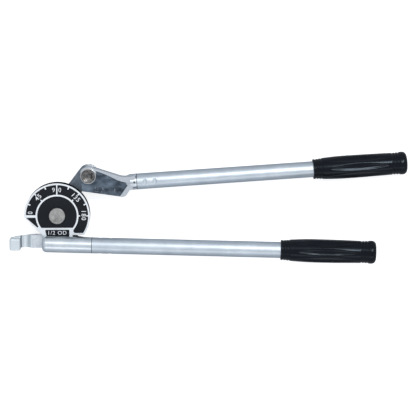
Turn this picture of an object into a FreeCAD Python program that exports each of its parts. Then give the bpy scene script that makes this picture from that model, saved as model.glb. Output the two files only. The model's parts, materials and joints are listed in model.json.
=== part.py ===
import FreeCAD, Part
import Sketcher
import math
import os
import re

# A lever-type bender for 1/2 inch outside-diameter tube. A forming wheel with a degree dial is screwed to
# the fixed handle. A link turns on the wheel's centre pin and carries the forming shoe, whose neck holds the
# moving handle. A hook hinged on the wheel holds the tube.
#
# Every sub-part is drawn in the tool's own frame: the origin is the wheel's centre, in the middle of the
# tube groove, +X runs along the fixed handle, +Y from that handle to the moving one, and +Z out of the dial.
# The placement of each sub-part then lays the tool on its back on a bench, where z = 0.

DRIVING = [
    ("groove_radius", 6.4, "tube groove, for tube of 12.7 mm"),
    ("bend_radius", 38.1, "centre line of the bent tube"),
    ("flange_radius", 39.1, "rim of the wheel"),
    ("wheel_half", 8.55, "half the wheel's thickness"),
    ("rim_start_angle", 182, "where the rim starts, beside the tube"),
    ("flange_end_angle", -36, "where the rim ends, past 180 degrees"),
    ("groove_overrun", 3, "degrees by which the groove's cutter passes the rim's end"),
    ("neck_left", -16.5, "block under the wheel"),
    ("neck_right", 24, "block under the wheel"),
    ("neck_bottom", -41, "block under the wheel"),
    ("neck_corner", -24.5, "where the block's left side meets the rim, Y"),
    ("cutter_reach", 60, "how far the drills and cutters reach past the wheel"),
    ("web_front", 6.6, "rear face of the front web"),
    ("dial_thickness", 0.65, "dial plate"),
    ("dial_bottom", -26, "lower edge of the dial plate"),
    ("rivet_along", -14.8, "X of the dial rivet"),
    ("rivet_across", -23.4, "Y of the dial rivet"),
    ("rivet_radius", 1.3, "dial rivet"),
    ("rivet_head_radius", 2.1, "dial rivet"),
    ("rivet_head_height", 0.6, "dial rivet"),
    ("pin_radius", 6, "centre pin and shoe pin"),
    ("pin_head_radius", 9.6, "centre pin"),
    ("pin_head_height", 3, "centre pin"),
    ("pin_head_round", 0.9, "centre pin"),
    ("shoe_pin_head_radius", 9.25, "shoe pin"),
    ("shoe_pin_head_height", 3.2, "shoe pin"),
    ("shoe_pin_head_round", 0.7, "shoe pin"),
    ("cup_radius", 7.3, "dish in the shoe pin's head"),
    ("cup_depth", 1.2, "dish in the shoe pin's head"),
    ("pin_rear", -17.4, "rear ends of both pins"),
    ("pin_groove_radius", 5.3, "ring grooves of both pins"),
    ("ring_radius", 8.4, "retaining rings"),
    ("ring_thickness", 1.2, "retaining rings"),
    ("ring_front", -15.3, "front faces of the retaining rings"),
    ("running_clearance", 0.05, "between pin and bush"),
    ("bush_radius", 8, "outside of both bushes"),
    ("washer_radius", 10.4, "thrust washers"),
    ("washer_thickness", 1, "thrust washers"),
    ("link_front", -9.65, "front face of the link"),
    ("link_thickness", 5.5, "link"),
    ("link_length", 60.5, "wheel centre to shoe pin"),
    ("link_angle", 52, "link at rest, from +X"),
    ("link_eye_radius", 12.2, "outer end of the link"),
    ("link_root_radius", 11, "inner end of the link"),
    ("shoe_angle", -8, "groove of the shoe at rest, from +X"),
    ("shoe_half", 7.2, "half the thickness of the shoe's web"),
    ("shoe_front", 9, "front of the shoe's rims"),
    ("shoe_rear", -9, "rear of the shoe's rims"),
    ("shoe_boss_rear", -8.55, "rear of the shoe's boss"),
    ("shoe_boss_front", 9, "front of the shoe's boss"),
    ("shoe_boss_radius", 10.5, "boss round the shoe pin"),
    ("shoe_groove_start", -4.6, "from the shoe pin, along the groove"),
    ("shoe_groove_end", 42, "from the shoe pin, along the groove"),
    ("shoe_cheek", -19.4, "edge of the groove's cheeks, from the shoe pin"),
    ("shoe_groove_drop", 3, "centre line of the groove past its cheeks"),
    ("handle_radius", 9.525, "handle tubes"),
    ("handle_wall", 1.5, "handle tubes"),
    ("spigot_clearance", 0.05, "spigot inside a handle tube"),
    ("spigot_length", 34, "spigot inside a handle tube"),
    ("crimp_depth", 0.8, "crimps of the handle tubes"),
    ("crimp_radius", 4.5, "tool that makes the crimps"),
    ("crimp_first", 9.7, "first row, from the seam"),
    ("crimp_second", 21.4, "second row, from the seam"),
    ("moving_angle", 3.8, "moving handle at rest, from +X"),
    ("moving_offset", -11.4, "moving handle's axis, from the shoe pin"),
    ("moving_seam", 57.2, "end of the shoe's neck, from the shoe pin"),
    ("dimple_setback", 3, "from the dimple in the shoe's neck to the seam"),
    ("dimple_depth", 2.5, "dimple in the shoe's neck"),
    ("neck_flare_setback", 17, "from the start of the neck's flare to the seam"),
    ("neck_flare_length", 9, "flare at the root of the neck"),
    ("neck_root_share", 0.62, "radius at the neck's root, as a part of the handle's"),
    ("moving_grip_start", 268.5, "from the shoe pin"),
    ("fixed_start_along", -17.3, "left end of the handle socket, X"),
    ("fixed_start_across", -32.5, "left end of the handle socket, Y"),
    ("fixed_start_height", 17.4, "left end of the handle socket, Z"),
    ("fixed_angle", -1.25, "fixed handle, in the plane of the wheel"),
    ("fixed_splay", 3.2, "fixed handle, out of the plane of the wheel"),
    ("fixed_seam", 59.1, "right end of the handle socket, along it"),
    ("fixed_grip_start", 282.6, "from the left end of the handle socket"),
    ("socket_pad_half", 6.3, "half the width of the socket's flat foot"),
    ("socket_pad_height", 10, "flat foot, up into the socket"),
    ("socket_pad_left", 3, "from the neck block's left side to the foot"),
    ("socket_pad_right", 1, "from the foot to the neck block's right side"),
    ("grip_length", 113, "grips"),
    ("grip_mouth_radius", 12, "grips, at the mouth"),
    ("grip_belly_radius", 14.3, "grips, at the thickest place"),
    ("grip_waist_radius", 13.2, "grips, before the flared end"),
    ("grip_end_radius", 14, "grips, at the flared end"),
    ("grip_end_wall", 3.5, "closed end of a grip"),
    ("grip_bore_clearance", 0.02, "handle tube inside a grip"),
    ("screw_radius", 3, "cap screws"),
    ("screw_head_radius", 5, "cap screws"),
    ("screw_head_height", 6, "cap screws"),
    ("screw_head_clearance", 0.4, "round a cap screw's head"),
    ("screw_socket_radius", 2.7, "hexagon socket of a cap screw, to its corners"),
    ("screw_sink", 0.5, "cap screw's head below the rear of the wheel"),
    ("screw_key_depth", 3, "hexagon socket of a cap screw"),
    ("screw_tip", 15.5, "front end of the cap screws"),
    ("screw_end_room", 0.3, "between a cap screw's end and the bottom of its hole"),
    ("screw_left", -9, "X of the left screw"),
    ("screw_right", 16, "X of the right screw"),
    ("screw_across", -33.3, "Y of both screws"),
    ("hinge_along", -25.7, "X of the latch hinge"),
    ("hinge_height", -6, "Z of the latch hinge"),
    ("hinge_pin_radius", 2, "latch hinge"),
    ("hinge_barrel_radius", 4.2, "latch hinge"),
    ("lug_top", -24, "upper lug of the hinge, upper face"),
    ("lug_split", -27, "upper lug of the hinge, lower face"),
    ("lug_low_split", -36.5, "lower lug of the hinge, upper face"),
    ("lug_bottom", -39.5, "lower lug of the hinge, lower face"),
    ("latch_gap", 0.1, "between the latch and the lugs"),
    ("hinge_pin_proud", 0.4, "hinge pin past each lug"),
    ("cover_thickness", 2.2, "plate in front of the hinge"),
    ("cover_gap", 0.15, "between that plate and the latch's arm"),
    ("cover_rise_left", 0.1, "that plate's upper edge above the lugs, at the arm"),
    ("cover_rise_right", 1.4, "that plate's upper edge above the lugs, at the neck block"),
    ("overlap", 1, "by which joined solids pass into each other"),
    ("wave_thickness", 1.3, "spring washer of the latch"),
    ("wave_inset", 0.3, "spring washer inside the outline of the barrel"),
    ("latch_rear", -10, "rear of the latch arm"),
    ("latch_seat_top", -0.4, "top of the tube seat"),
    ("latch_head_front", 9, "front of the hook"),
    ("latch_head_left", -57, "left side of the hook"),
    ("latch_head_right", -44.6, "right side of the hook"),
    ("latch_head_top", -27, "upper side of the hook"),
    ("latch_head_bottom", -41.6, "lower side of the hook"),
    ("latch_head_round", 2.2, "left corners of the hook"),
    ("latch_arm_left", -52, "left end of the arm, inside the hook"),
    ("latch_arm_right", -30.1, "right end of the arm, beside the barrel"),
    ("latch_arm_width_left", 12.9, "arm at the hook"),
    ("latch_arm_width_right", 15.6, "arm at the hinge"),
    ("tongue_rise", 3, "tongue between arm and barrel, above the hinge pin's axis"),
    ("rest_tilt", 12.617, "lean towards the fixed handle, lying on a bench"),
    ("rest_roll", 2.422, "dip towards the grips, lying on a bench"),
]

doc = FreeCAD.newDocument("tube_bender")
sheet = doc.addObject("Spreadsheet::Sheet", "sizes")
for row, (alias, value, note) in enumerate(DRIVING, start=1):
    sheet.set("A%d" % row, alias)
    sheet.set("B%d" % row, str(value))
    sheet.set("C%d" % row, note)
    sheet.setAlias("B%d" % row, alias)
doc.recompute()

X_AXIS = FreeCAD.Vector(1, 0, 0)
Y_AXIS = FreeCAD.Vector(0, 1, 0)
Z_AXIS = FreeCAD.Vector(0, 0, 1)
ORIGIN = FreeCAD.Vector(0, 0, 0)
LEVEL = FreeCAD.Rotation()
TOOL = FreeCAD.Placement()


def named(expression):
    """An expression of aliases, such as "2 * wheel_half", as the document's objects read it."""
    return re.sub(r"[a-z]\w+", lambda word: "sizes." + word.group(0), expression)


def size(expression):
    """The number that an expression of aliases gives."""
    return float(sheet.evalExpression(named(expression)))


def turned_by(degrees, axis=Z_AXIS, base=ORIGIN):
    return FreeCAD.Placement(base, FreeCAD.Rotation(axis, degrees))


def polar(radius, degrees):
    return (radius * math.cos(math.radians(degrees)), radius * math.sin(math.radians(degrees)))


# ---------------------------------------------------------------- building blocks

def cylinder(name, radius, height, base, axis=Z_AXIS, frame=TOOL):
    """A cylinder bound to the sheet, from its base point along its axis."""
    solid = doc.addObject("Part::Cylinder", name)
    solid.setExpression("Radius", named(radius))
    solid.setExpression("Height", named(height))
    turn = FreeCAD.Rotation(Z_AXIS, axis)
    solid.Placement = frame.multiply(FreeCAD.Placement(FreeCAD.Vector(*base), turn))
    return solid


def box(name, lengths, corner, frame=TOOL):
    """A box bound to the sheet, from its lowest corner."""
    solid = doc.addObject("Part::Box", name)
    solid.setExpression("Length", named(lengths[0]))
    solid.setExpression("Width", named(lengths[1]))
    solid.setExpression("Height", named(lengths[2]))
    solid.Placement = frame.multiply(FreeCAD.Placement(FreeCAD.Vector(*corner), LEVEL))
    return solid


def draw(sketch, path):
    """A closed outline: a start point, then (x, y) for a line or (x, y, x, y) for an arc through a point."""
    start = FreeCAD.Vector(path[0][0], path[0][1], 0)
    here = start
    for step in path[1:]:
        there = FreeCAD.Vector(step[-2], step[-1], 0)
        if len(step) == 2:
            sketch.addGeometry(Part.LineSegment(here, there))
        else:
            sketch.addGeometry(Part.Arc(here, FreeCAD.Vector(step[0], step[1], 0), there))
        here = there
    if here.distanceToPoint(start) > 1e-6:
        sketch.addGeometry(Part.LineSegment(here, start))


def prism(name, path, bottom, top, frame=TOOL):
    """An outline pushed out along Z between two heights of the sheet."""
    sketch = doc.addObject("Sketcher::SketchObject", name + "_outline")
    draw(sketch, path)
    sketch.Placement = frame.multiply(FreeCAD.Placement(FreeCAD.Vector(0, 0, size(bottom)), LEVEL))
    solid = doc.addObject("Part::Extrusion", name)
    solid.Base = sketch
    solid.DirMode = "Normal"
    solid.Solid = True
    solid.setExpression("LengthFwd", named("(%s) - (%s)" % (top, bottom)))
    return solid


def fuse(name, solids):
    result = doc.addObject("Part::MultiFuse", name)
    result.Shapes = solids
    result.Refine = True
    return result


def cut(name, base, tools):
    """Takes the tools away from the base one after the other."""
    for number, tool in enumerate(tools, start=1):
        result = doc.addObject("Part::Cut", name if tool is tools[-1] else "%s_cut_%d" % (name, number))
        result.Base = base
        result.Tool = tool
        result.Refine = True
        base = result
    return base


def base_plane(body, role):
    for feature in body.Origin.OriginFeatures:
        if feature.Role == role:
            return feature
    raise ValueError(role)


def stack(name, steps):
    """A round body of pads along Z, each (bottom, top, outer radius, inner radius or None)."""
    body = doc.addObject("PartDesign::Body", name)
    for number, (bottom, top, outer, inner) in enumerate(steps, start=1):
        sketch = body.newObject("Sketcher::SketchObject", "%s_section_%d" % (name, number))
        sketch.AttachmentSupport = [(base_plane(body, "XY_Plane"), "")]
        sketch.MapMode = "FlatFace"
        sketch.setExpression("AttachmentOffset.Base.z", named(bottom))
        for index, radius in enumerate([outer, inner] if inner else [outer]):
            sketch.addGeometry(Part.Circle(ORIGIN, Z_AXIS, size(radius)))
            sketch.addConstraint(Sketcher.Constraint("Coincident", index, 3, -1, 1))
            bound = sketch.addConstraint(Sketcher.Constraint("Radius", index, size(radius)))
            sketch.setExpression("Constraints[%d]" % bound, named(radius))
        pad = body.newObject("PartDesign::Pad", "%s_pad_%d" % (name, number))
        pad.Profile = sketch
        pad.setExpression("Length", named("(%s) - (%s)" % (top, bottom)))
    return body


def turned(name, path):
    """A body turned about X, from a path of (x, radius) steps as draw() takes them."""
    body = doc.addObject("PartDesign::Body", name)
    sketch = body.newObject("Sketcher::SketchObject", name + "_profile")
    sketch.AttachmentSupport = [(base_plane(body, "XY_Plane"), "")]
    sketch.MapMode = "FlatFace"
    draw(sketch, path)
    turn = body.newObject("PartDesign::Revolution", name + "_turn")
    turn.Profile = sketch
    turn.ReferenceAxis = (sketch, ["H_Axis"])
    turn.Angle = 360
    return body


def rounded(name, base, radius, wanted):
    """Rounds the edges for which wanted(edge) is true."""
    doc.recompute()
    edges = []
    for number, edge in enumerate(base.Shape.Edges, start=1):
        if wanted(edge):
            edges.append((number, radius, radius))
    result = doc.addObject("Part::Fillet", name)
    result.Base = base
    result.Edges = edges
    return result


# ---------------------------------------------------------------- frames of the moving pieces

LINK_FRAME = turned_by(size("link_angle"))
PIVOT = LINK_FRAME.multVec(FreeCAD.Vector(size("link_length"), 0, 0))
PIVOT_FRAME = FreeCAD.Placement(PIVOT, LEVEL)
SHOE_FRAME = turned_by(size("shoe_angle"), Z_AXIS, PIVOT)
MOVING_AXIS = FreeCAD.Placement(FreeCAD.Vector(0, size("moving_offset"), 0), LEVEL)
MOVING_FRAME = turned_by(size("moving_angle"), Z_AXIS, PIVOT).multiply(MOVING_AXIS)
FIXED_START = FreeCAD.Vector(size("fixed_start_along"), size("fixed_start_across"),
                             size("fixed_start_height"))
FIXED_SWING = FreeCAD.Rotation(Z_AXIS, size("fixed_angle"))
FIXED_RISE = FreeCAD.Rotation(Y_AXIS, -size("fixed_splay"))
FIXED_FRAME = FreeCAD.Placement(FIXED_START, FIXED_SWING.multiply(FIXED_RISE))
HINGE_ALONG = size("hinge_along")
HINGE_HEIGHT = size("hinge_height")
SCREWS = {"left": size("screw_left"), "right": size("screw_right")}
RIVET_ALONG = size("rivet_along")
RIVET_ACROSS = size("rivet_across")
REACH = size("cutter_reach")


# ---------------------------------------------------------------- wheel and dial

def rim_outline(bottom):
    """The rim from just under 9 o'clock over the top, the flat beside the neck, and the neck block."""
    rim = size("flange_radius")
    start = polar(rim, size("rim_start_angle"))
    end = polar(rim, size("flange_end_angle"))
    left = size("neck_left")
    right = size("neck_right")
    return [start, (0, rim) + end, (right, end[1]), (right, size(bottom)), (left, size(bottom)),
            (left, size("neck_corner"))]


def forming_wheel():
    """Casting: grooved wheel, neck block, front web and the lugs of the latch hinge."""
    parts = [
        prism("wheel_disc", rim_outline("neck_bottom"), "-wheel_half", "wheel_half"),
        prism("wheel_web", [(15, -20), (19, -22.9), (26, -24.6, 38, -26), (38, -31), (15, -31)],
              "web_front", "wheel_half"),
    ]
    for label, top, bottom in (("upper", "lug_top", "lug_split"), ("lower", "lug_low_split", "lug_bottom")):
        width = "%s - %s" % (top, bottom)
        parts.append(cylinder("lug_%s_barrel" % label, "hinge_barrel_radius", width,
                              (HINGE_ALONG, size(bottom), HINGE_HEIGHT), Y_AXIS))
        parts.append(box("lug_%s_arm" % label,
                         ("neck_left - hinge_along + overlap", width, "2 * hinge_barrel_radius"),
                         (HINGE_ALONG, size(bottom), size("hinge_height - hinge_barrel_radius"))))
    cover_left = size("latch_arm_right + cover_gap")
    cover_right = size("neck_left + overlap")
    cover = [(cover_left, size("lug_bottom")), (cover_right, size("lug_bottom")),
             (cover_right, size("lug_top + cover_rise_right")),
             (cover_left, size("lug_top + cover_rise_left"))]
    parts.append(prism("hinge_cover", cover, "hinge_height + hinge_barrel_radius",
                       "hinge_height + hinge_barrel_radius + cover_thickness"))
    casting = fuse("wheel_casting", parts)
    groove = doc.addObject("Part::Torus", "wheel_groove")
    groove.setExpression("Radius1", named("bend_radius"))
    groove.setExpression("Radius2", named("groove_radius"))
    groove.setExpression("Angle3", named("180 + groove_overrun - flange_end_angle"))
    groove.Placement = turned_by(size("flange_end_angle - groove_overrun"))
    below = size("-wheel_half")
    tools = [
        groove,
        cylinder("wheel_groove_lead", "groove_radius", "cutter_reach",
                 (size("-bend_radius"), -REACH, 0), Y_AXIS),
        cylinder("wheel_bore", "pin_radius", "2 * wheel_half", (0, 0, below)),
        cylinder("wheel_hinge_hole", "hinge_pin_radius", "cutter_reach + lug_top",
                 (HINGE_ALONG, -REACH, HINGE_HEIGHT), Y_AXIS),
        cylinder("wheel_rivet_hole", "rivet_radius", "wheel_half", (RIVET_ALONG, RIVET_ACROSS, 0)),
    ]
    for label, along in SCREWS.items():
        place = (along, size("screw_across"), below)
        tools.append(cylinder("wheel_screw_hole_" + label, "screw_radius", "2 * wheel_half", place))
        tools.append(cylinder("wheel_counterbore_" + label, "screw_head_radius + screw_head_clearance",
                              "screw_head_height + screw_sink", place))
    return cut("forming_wheel", casting, tools)


def dial_plate():
    plate = prism("dial_blank", rim_outline("dial_bottom"), "wheel_half", "wheel_half + dial_thickness")
    holes = [cylinder("dial_bore", "pin_radius", "2 * wheel_half", (0, 0, 0)),
             cylinder("dial_rivet_hole", "rivet_radius", "2 * wheel_half", (RIVET_ALONG, RIVET_ACROSS, 0))]
    return cut("dial_plate", plate, holes)


def dial_rivet():
    top = "wheel_half + dial_thickness"
    rivet = stack("dial_rivet", [("0", top, "rivet_radius", None),
                                 (top, top + " + rivet_head_height", "rivet_head_radius", None)])
    rivet.Placement.Base = FreeCAD.Vector(RIVET_ALONG, RIVET_ACROSS, 0)
    return rivet


# ---------------------------------------------------------------- pins, rings and washers

def grooved_pin(name, head_base, head_radius, head_height):
    """A headed pin with a retaining-ring groove near its rear end."""
    groove_front = "ring_front + running_clearance"
    groove_rear = "ring_front - ring_thickness - running_clearance"
    head_top = "%s + %s" % (head_base, head_height)
    return stack(name, [("pin_rear", groove_rear, "pin_radius", None),
                        (groove_rear, groove_front, "pin_groove_radius", None),
                        (groove_front, head_base, "pin_radius", None),
                        (head_base, head_top, head_radius, None)])


def front_rim(radius, height):
    """Chooses the circular edges of a radius at a height."""
    def wanted(edge):
        round_edge = hasattr(edge.Curve, "Radius") and abs(edge.Curve.Radius - radius) < 0.01
        return round_edge and abs(edge.BoundBox.ZMax - height) < 0.01
    return wanted


def center_pivot_pin():
    under_head = "wheel_half + dial_thickness"
    blank = grooved_pin("center_pin_blank", under_head, "pin_head_radius", "pin_head_height")
    rim = front_rim(size("pin_head_radius"), size(under_head + " + pin_head_height"))
    return rounded("center_pivot_pin", blank, size("pin_head_round"), rim)


def shoe_pivot_pin():
    """The head is dished inside a bright rim."""
    under_head = "shoe_boss_front + running_clearance"
    blank = grooved_pin("shoe_pin_blank", under_head, "shoe_pin_head_radius", "shoe_pin_head_height")
    blank.Placement = PIVOT_FRAME
    top = size(under_head + " + shoe_pin_head_height")
    rim = front_rim(size("shoe_pin_head_radius"), top)
    edged = rounded("shoe_pin_edged", blank, size("shoe_pin_head_round"), rim)
    dish = doc.addObject("Part::Sphere", "shoe_pin_dish")
    dish_radius = "(cup_radius ^ 2 + cup_depth ^ 2) / (2 * cup_depth)"
    dish.setExpression("Radius", named(dish_radius))
    dish_height = top + size(dish_radius + " - cup_depth")
    dish.Placement = FreeCAD.Placement(PIVOT + FreeCAD.Vector(0, 0, dish_height), LEVEL)
    return cut("shoe_pivot_pin", edged, [dish])


def retaining_ring(name, centre):
    """A flat ring with a gap, snapped into a pin's groove."""
    ring = stack(name + "_blank", [("ring_front - ring_thickness", "ring_front", "ring_radius",
                                    "pin_groove_radius")])
    ring.Placement.Base = centre
    gap = box(name + "_gap", ("3 * pin_radius", "pin_groove_radius", "2 * ring_thickness"),
              (centre.x, centre.y - size("pin_groove_radius / 2"),
               size("ring_front - 1.5 * ring_thickness")))
    return cut(name, ring, [gap])


def thrust_washer(name, centre):
    rear = "link_front + running_clearance"
    washer = stack(name, [(rear, rear + " + washer_thickness", "washer_radius",
                           "pin_radius + 2 * running_clearance")])
    washer.Placement.Base = centre
    return washer


# ---------------------------------------------------------------- link

def link_arm():
    """Flat bar with two eyes, straight on its outer edge and waisted on its inner one."""
    far = size("link_length")
    root = size("link_root_radius")
    eye = size("link_eye_radius")
    path = [(0, root), (far, eye), (far + eye, 0) + (far + 4, size("-link_eye_radius + 0.7")),
            (40, -6.4, 14, -root + 1.5), (4, -root + 0.3), (-root, 0, 0, root)]
    blank = prism("link_blank", path, "link_front - link_thickness", "link_front", LINK_FRAME)
    rear = size("link_front - link_thickness")
    holes = [cylinder("link_bush_hole", "bush_radius", "link_thickness", (0, 0, rear)),
             cylinder("link_pin_hole", "pin_radius", "link_thickness", (PIVOT.x, PIVOT.y, rear))]
    return cut("link_arm", blank, holes)


def link_bush():
    return stack("link_bush", [("link_front - link_thickness", "link_front", "bush_radius",
                                "pin_radius + running_clearance")])


# ---------------------------------------------------------------- forming shoe

def forming_shoe():
    """Casting: web with the tube groove, boss, two rims and the neck that enters the handle tube."""
    cheek = size("shoe_cheek")
    start = size("shoe_groove_start")
    end = size("shoe_groove_end")
    full = size("handle_radius")
    thin = size("handle_radius - handle_wall - spigot_clearance")
    seam = size("moving_seam")
    tip = size("moving_seam + spigot_length")
    flare = size("moving_seam - neck_flare_setback")
    root = size("neck_root_share * handle_radius")
    inside = size("shoe_boss_radius - 0.6")
    crown = polar(size("shoe_boss_radius + 0.4"), 84)
    shoulder = (34.5, 5.1)
    saddle = (44.1, 4.8)
    tail = (56, 9)
    inner_tail = (54, 1)
    throat = (54.5, -8)
    heel = (46.6, -18.1, 49.2, -14.2)
    ankle = (51.3, -10.3)
    web = [(start, cheek), (end, cheek), heel, ankle, throat, tail, (50.2, 6.2) + saddle,
           (39, 4.5) + shoulder, crown, polar(inside, 100), (-inside, 0) + polar(inside, 222)]
    top_rim = [crown, shoulder, (39, 4.5) + saddle, (50.2, 6.2) + tail, inner_tail, (49.6, -1.2, 45.4, -1.6),
               (39, -1, 33.1, 0.3), (25.5, 3, 8.4, 7), polar(inside, 40),
               polar(inside, 62) + polar(inside, 84)]
    neck = turned("shoe_neck", [(flare, 0), (flare, root), (flare + size("neck_flare_length"), full),
                                (seam, full), (seam, thin), (tip, thin), (tip, 0)])
    neck.Placement = MOVING_FRAME
    heel_rim = [inner_tail, (48.7, -3.5), (40.6, cheek), (end, cheek), heel, ankle, throat]
    parts = [
        prism("shoe_web", web, "-shoe_half", "shoe_half", SHOE_FRAME),
        prism("shoe_top_rim", top_rim, "shoe_rear", "shoe_front", SHOE_FRAME),
        prism("shoe_heel_rim", heel_rim, "shoe_rear", "shoe_front", SHOE_FRAME),
        cylinder("shoe_boss", "shoe_boss_radius", "shoe_boss_front - shoe_boss_rear",
                 (0, 0, size("shoe_boss_rear")), Z_AXIS, SHOE_FRAME),
        neck,
    ]
    groove_line = size("shoe_cheek - shoe_groove_drop")
    dimple = (size("moving_seam - dimple_setback"), 0, size("handle_radius - dimple_depth"))
    tools = [
        cylinder("shoe_groove", "groove_radius", "80", (start - 10, groove_line, 0), X_AXIS, SHOE_FRAME),
        cylinder("shoe_bore", "bush_radius", "40", (PIVOT.x, PIVOT.y, -20)),
        cylinder("shoe_spotface", "washer_radius + 0.8", "12 + shoe_boss_rear", (PIVOT.x, PIVOT.y, -12)),
        cylinder("shoe_neck_dimple", "rivet_radius", "2 * dimple_depth", dimple, Z_AXIS, MOVING_FRAME),
    ]
    return cut("forming_shoe", fuse("shoe_casting", parts), tools)


def shoe_bush():
    bush = stack("shoe_bush", [("shoe_boss_rear", "shoe_boss_front", "bush_radius",
                                "pin_radius + running_clearance")])
    bush.Placement.Base = PIVOT
    return bush


# ---------------------------------------------------------------- handles

def handle_tube(name, seam, grip_start, sides, frame):
    """A tube from the seam to the closed end of its grip, crimped twice on each of the given sides."""
    length = "%s + grip_length - grip_end_wall - %s" % (grip_start, seam)
    mouth = (size(seam), 0, 0)
    outer = cylinder(name + "_outer", "handle_radius", length, mouth, X_AXIS, frame)
    tools = [cylinder(name + "_inner", "handle_radius - handle_wall", length, mouth, X_AXIS, frame)]
    away = size("handle_radius + crimp_radius - crimp_depth")
    for row in ("crimp_first", "crimp_second"):
        for side in sides:
            across, up = polar(1, side)
            radial = FreeCAD.Vector(0, across, up)
            tangent = X_AXIS.cross(radial)
            centre = FreeCAD.Vector(size(seam) + size(row), 0, 0) + radial * away
            base = centre - tangent * size("handle_radius")
            tool_name = "%s_%s_%d" % (name, row, side % 360)
            tool = cylinder(tool_name, "crimp_radius", "2 * handle_radius", (0, 0, 0))
            tool.Placement = frame.multiply(FreeCAD.Placement(base, FreeCAD.Rotation(Z_AXIS, tangent)))
            tools.append(tool)
    return cut(name, outer, tools)


def handle_grip(name, grip_start, frame):
    """Vinyl sleeve: narrow mouth, full belly, waist and a flared, closed end."""
    bore = size("handle_radius + grip_bore_clearance")
    mouth = size("grip_mouth_radius")
    belly = size("grip_belly_radius")
    waist = size("grip_waist_radius")
    flare = size("grip_end_radius")
    far = size("grip_length")
    path = [(0, bore), (0, mouth - 1), (0.3, mouth - 0.3, 1, mouth),
            (0.2 * far, belly - 0.6, 0.44 * far, belly), (0.64 * far, belly - 0.3, 0.82 * far, waist),
            (0.88 * far, waist + 0.1, 0.95 * far, flare),
            (far - 1.3, flare - 1.1, far, flare - 3.6), (far, 0), (far - size("grip_end_wall"), 0),
            (far - size("grip_end_wall"), bore)]
    grip = turned(name, path)
    grip.Placement = frame.multiply(FreeCAD.Placement(FreeCAD.Vector(size(grip_start), 0, 0), LEVEL))
    return grip


def handle_socket():
    """Casting with a flat foot on the wheel's neck, a rounded end, and a spigot in the handle tube."""
    full = size("handle_radius")
    thin = size("handle_radius - handle_wall - spigot_clearance")
    seam = size("fixed_seam")
    tip = size("fixed_seam + spigot_length")
    core = turned("socket_core", [(0, 0), (0, full - 4.5), (1.5, full - 1.4, 5.2, full), (seam, full),
                                  (seam, thin), (tip, thin), (tip, 0)])
    core.Placement = FIXED_FRAME
    foot = box("socket_foot", ("neck_right - neck_left - socket_pad_left - socket_pad_right",
                               "2 * socket_pad_half", "socket_pad_height"),
               (size("neck_left + socket_pad_left"), size("screw_across - socket_pad_half"),
                size("wheel_half")))
    below = box("socket_below", ("200", "100", "20"), (-60, -80, size("wheel_half") - 20))
    tools = [below]
    for label, along in SCREWS.items():
        tools.append(cylinder("socket_thread_" + label, "screw_radius", "screw_tip + screw_end_room",
                              (along, size("screw_across"), 0)))
    return cut("handle_socket", fuse("socket_blank", [core, foot]), tools)


def socket_screws():
    """Two cap screws from the rear of the wheel."""
    screws = []
    for label, along in SCREWS.items():
        head = "screw_sink - wheel_half"
        seat = head + " + screw_head_height"
        screw = stack("screw_blank_" + label, [(head, seat, "screw_head_radius", None),
                                               (seat, "screw_tip", "screw_radius", None)])
        screw.Placement.Base = FreeCAD.Vector(along, size("screw_across"), 0)
        corners = [polar(size("screw_socket_radius"), 60 * side) for side in range(6)]
        key = prism("screw_key_" + label, corners, head, head + " + screw_key_depth", screw.Placement)
        screws.append(cut("screw_" + label, screw, [key]))
    group = doc.addObject("Part::Compound", "socket_screws")
    group.Links = screws
    return group


# ---------------------------------------------------------------- tube latch

def latch_hinge_pin():
    low = size("lug_bottom - hinge_pin_proud")
    return cylinder("latch_hinge_pin", "hinge_pin_radius", "lug_top - lug_bottom + 2 * hinge_pin_proud",
                    (HINGE_ALONG, low, HINGE_HEIGHT), Y_AXIS)


def tube_latch_hook():
    """Arm behind the tube with a half-round seat, a hook beside the tube, and the hinge barrel."""
    left = size("latch_arm_left")
    right = size("latch_arm_right")
    low = size("lug_bottom")
    outline = [(left, low), (right, low), (right, size("lug_bottom + latch_arm_width_right")),
               (left, size("lug_bottom + latch_arm_width_left"))]
    arm = prism("latch_arm", outline, "latch_rear", "latch_seat_top")
    head = box("latch_head_blank", ("latch_head_right - latch_head_left",
                                    "latch_head_top - latch_head_bottom",
                                    "latch_head_front - latch_rear"),
               (size("latch_head_left"), size("latch_head_bottom"), size("latch_rear")))
    hook = rounded("latch_head", head, size("latch_head_round"),
                   lambda edge: edge.BoundBox.XMin < size("latch_head_right") - 1)
    barrel_low = "lug_low_split + latch_gap"
    barrel_top = "lug_split - wave_thickness - latch_gap"
    width = "%s - (%s)" % (barrel_top, barrel_low)
    barrel = cylinder("latch_barrel", "hinge_barrel_radius - 2 * latch_gap", width,
                      (HINGE_ALONG, size(barrel_low), HINGE_HEIGHT), Y_AXIS)
    tongue = box("latch_tongue", ("hinge_along - latch_arm_right + overlap", width,
                                  "hinge_height - latch_rear + tongue_rise"),
                 (size("latch_arm_right - overlap"), size(barrel_low), size("latch_rear")))
    seat = cylinder("latch_seat", "groove_radius", "cutter_reach", (size("-bend_radius"), -REACH, 0), Y_AXIS)
    hole = cylinder("latch_hinge_hole", "hinge_pin_radius + running_clearance", "cutter_reach",
                    (HINGE_ALONG, -REACH, HINGE_HEIGHT), Y_AXIS)
    return cut("tube_latch_hook", fuse("latch_blank", [arm, hook, barrel, tongue]), [seat, hole])


def latch_wave_washer():
    washer = stack("latch_wave_washer", [("lug_split - wave_thickness - running_clearance",
                                          "lug_split - 2 * running_clearance",
                                          "hinge_barrel_radius - wave_inset",
                                          "hinge_pin_radius + 2 * running_clearance")])
    turn = FreeCAD.Rotation(X_AXIS, -90)
    washer.Placement = FreeCAD.Placement(FreeCAD.Vector(HINGE_ALONG, 0, HINGE_HEIGHT), turn)
    return washer


# ---------------------------------------------------------------- assembly

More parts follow.
